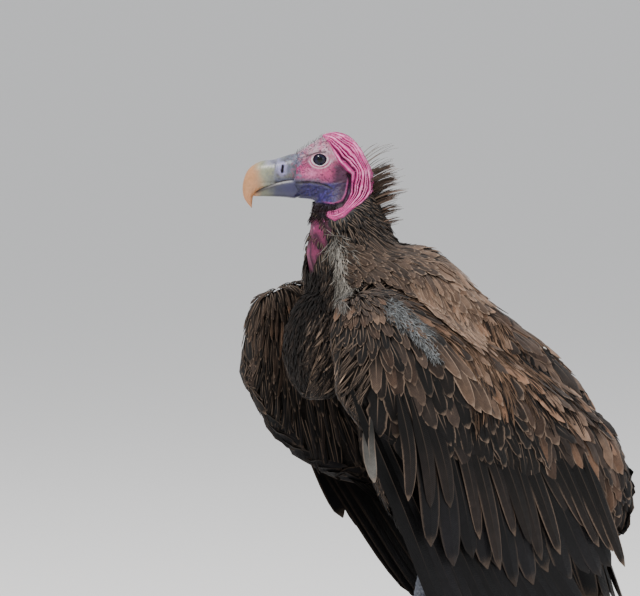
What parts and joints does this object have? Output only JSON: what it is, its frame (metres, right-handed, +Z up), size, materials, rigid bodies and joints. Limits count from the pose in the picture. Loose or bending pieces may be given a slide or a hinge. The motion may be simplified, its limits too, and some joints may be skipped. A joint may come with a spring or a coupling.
{
  "type": "lappet-faced vulture model",
  "caption": "Life-size standing vulture with drooped wings, head turned to its right, bare folded head, heavy hooked bill and scaly feet.",
  "frame": {"origin": "on the floor, below the middle of the bird's bounding box", "axes": "+Z up, the body faces -Y, the bird's left is +X"},
  "size_m": [0.3568, 0.5646, 0.7892],
  "materials": {
    "skin": "bare pink folded skin, slightly moist",
    "bill_horn": "satin horn, greenish yellow to peach at the hook",
    "eye": "wet, near black",
    "down": "soft brown and grey-white down",
    "feather": "dark brown contour feathers with paler edges",
    "flight_feather": "blackish stiff flight feathers",
    "scaly_skin": "blue-grey scaly skin",
    "claw_horn": "black satin horn"
  },
  "bodies": {
    "root": {"bill_lower": "bill_horn", "bill_upper": "bill_horn", "claw_left_hind": "claw_horn", "claw_left_inner": "claw_horn", "claw_left_middle": "claw_horn", "claw_left_outer": "claw_horn", "claw_right_hind": "claw_horn", "claw_right_inner": "claw_horn", "claw_right_middle": "claw_horn", "claw_right_outer": "claw_horn", "eye_left": "eye", "eye_right": "eye", "head": "skin", "neck": "down", "primaries_left": "flight_feather", "primaries_right": "flight_feather", "ruff": "down", "shank_left": "scaly_skin", "shank_right": "scaly_skin", "tail": "flight_feather", "thigh_left": "down", "thigh_right": "down", "toe_left_hind": "scaly_skin", "toe_left_inner": "scaly_skin", "toe_left_middle": "scaly_skin", "toe_left_outer": "scaly_skin", "toe_right_hind": "scaly_skin", "toe_right_inner": "scaly_skin", "toe_right_middle": "scaly_skin", "toe_right_outer": "scaly_skin", "trunk": "feather", "wing_left": "feather", "wing_right": "feather"}
  },
  "joints": []
}
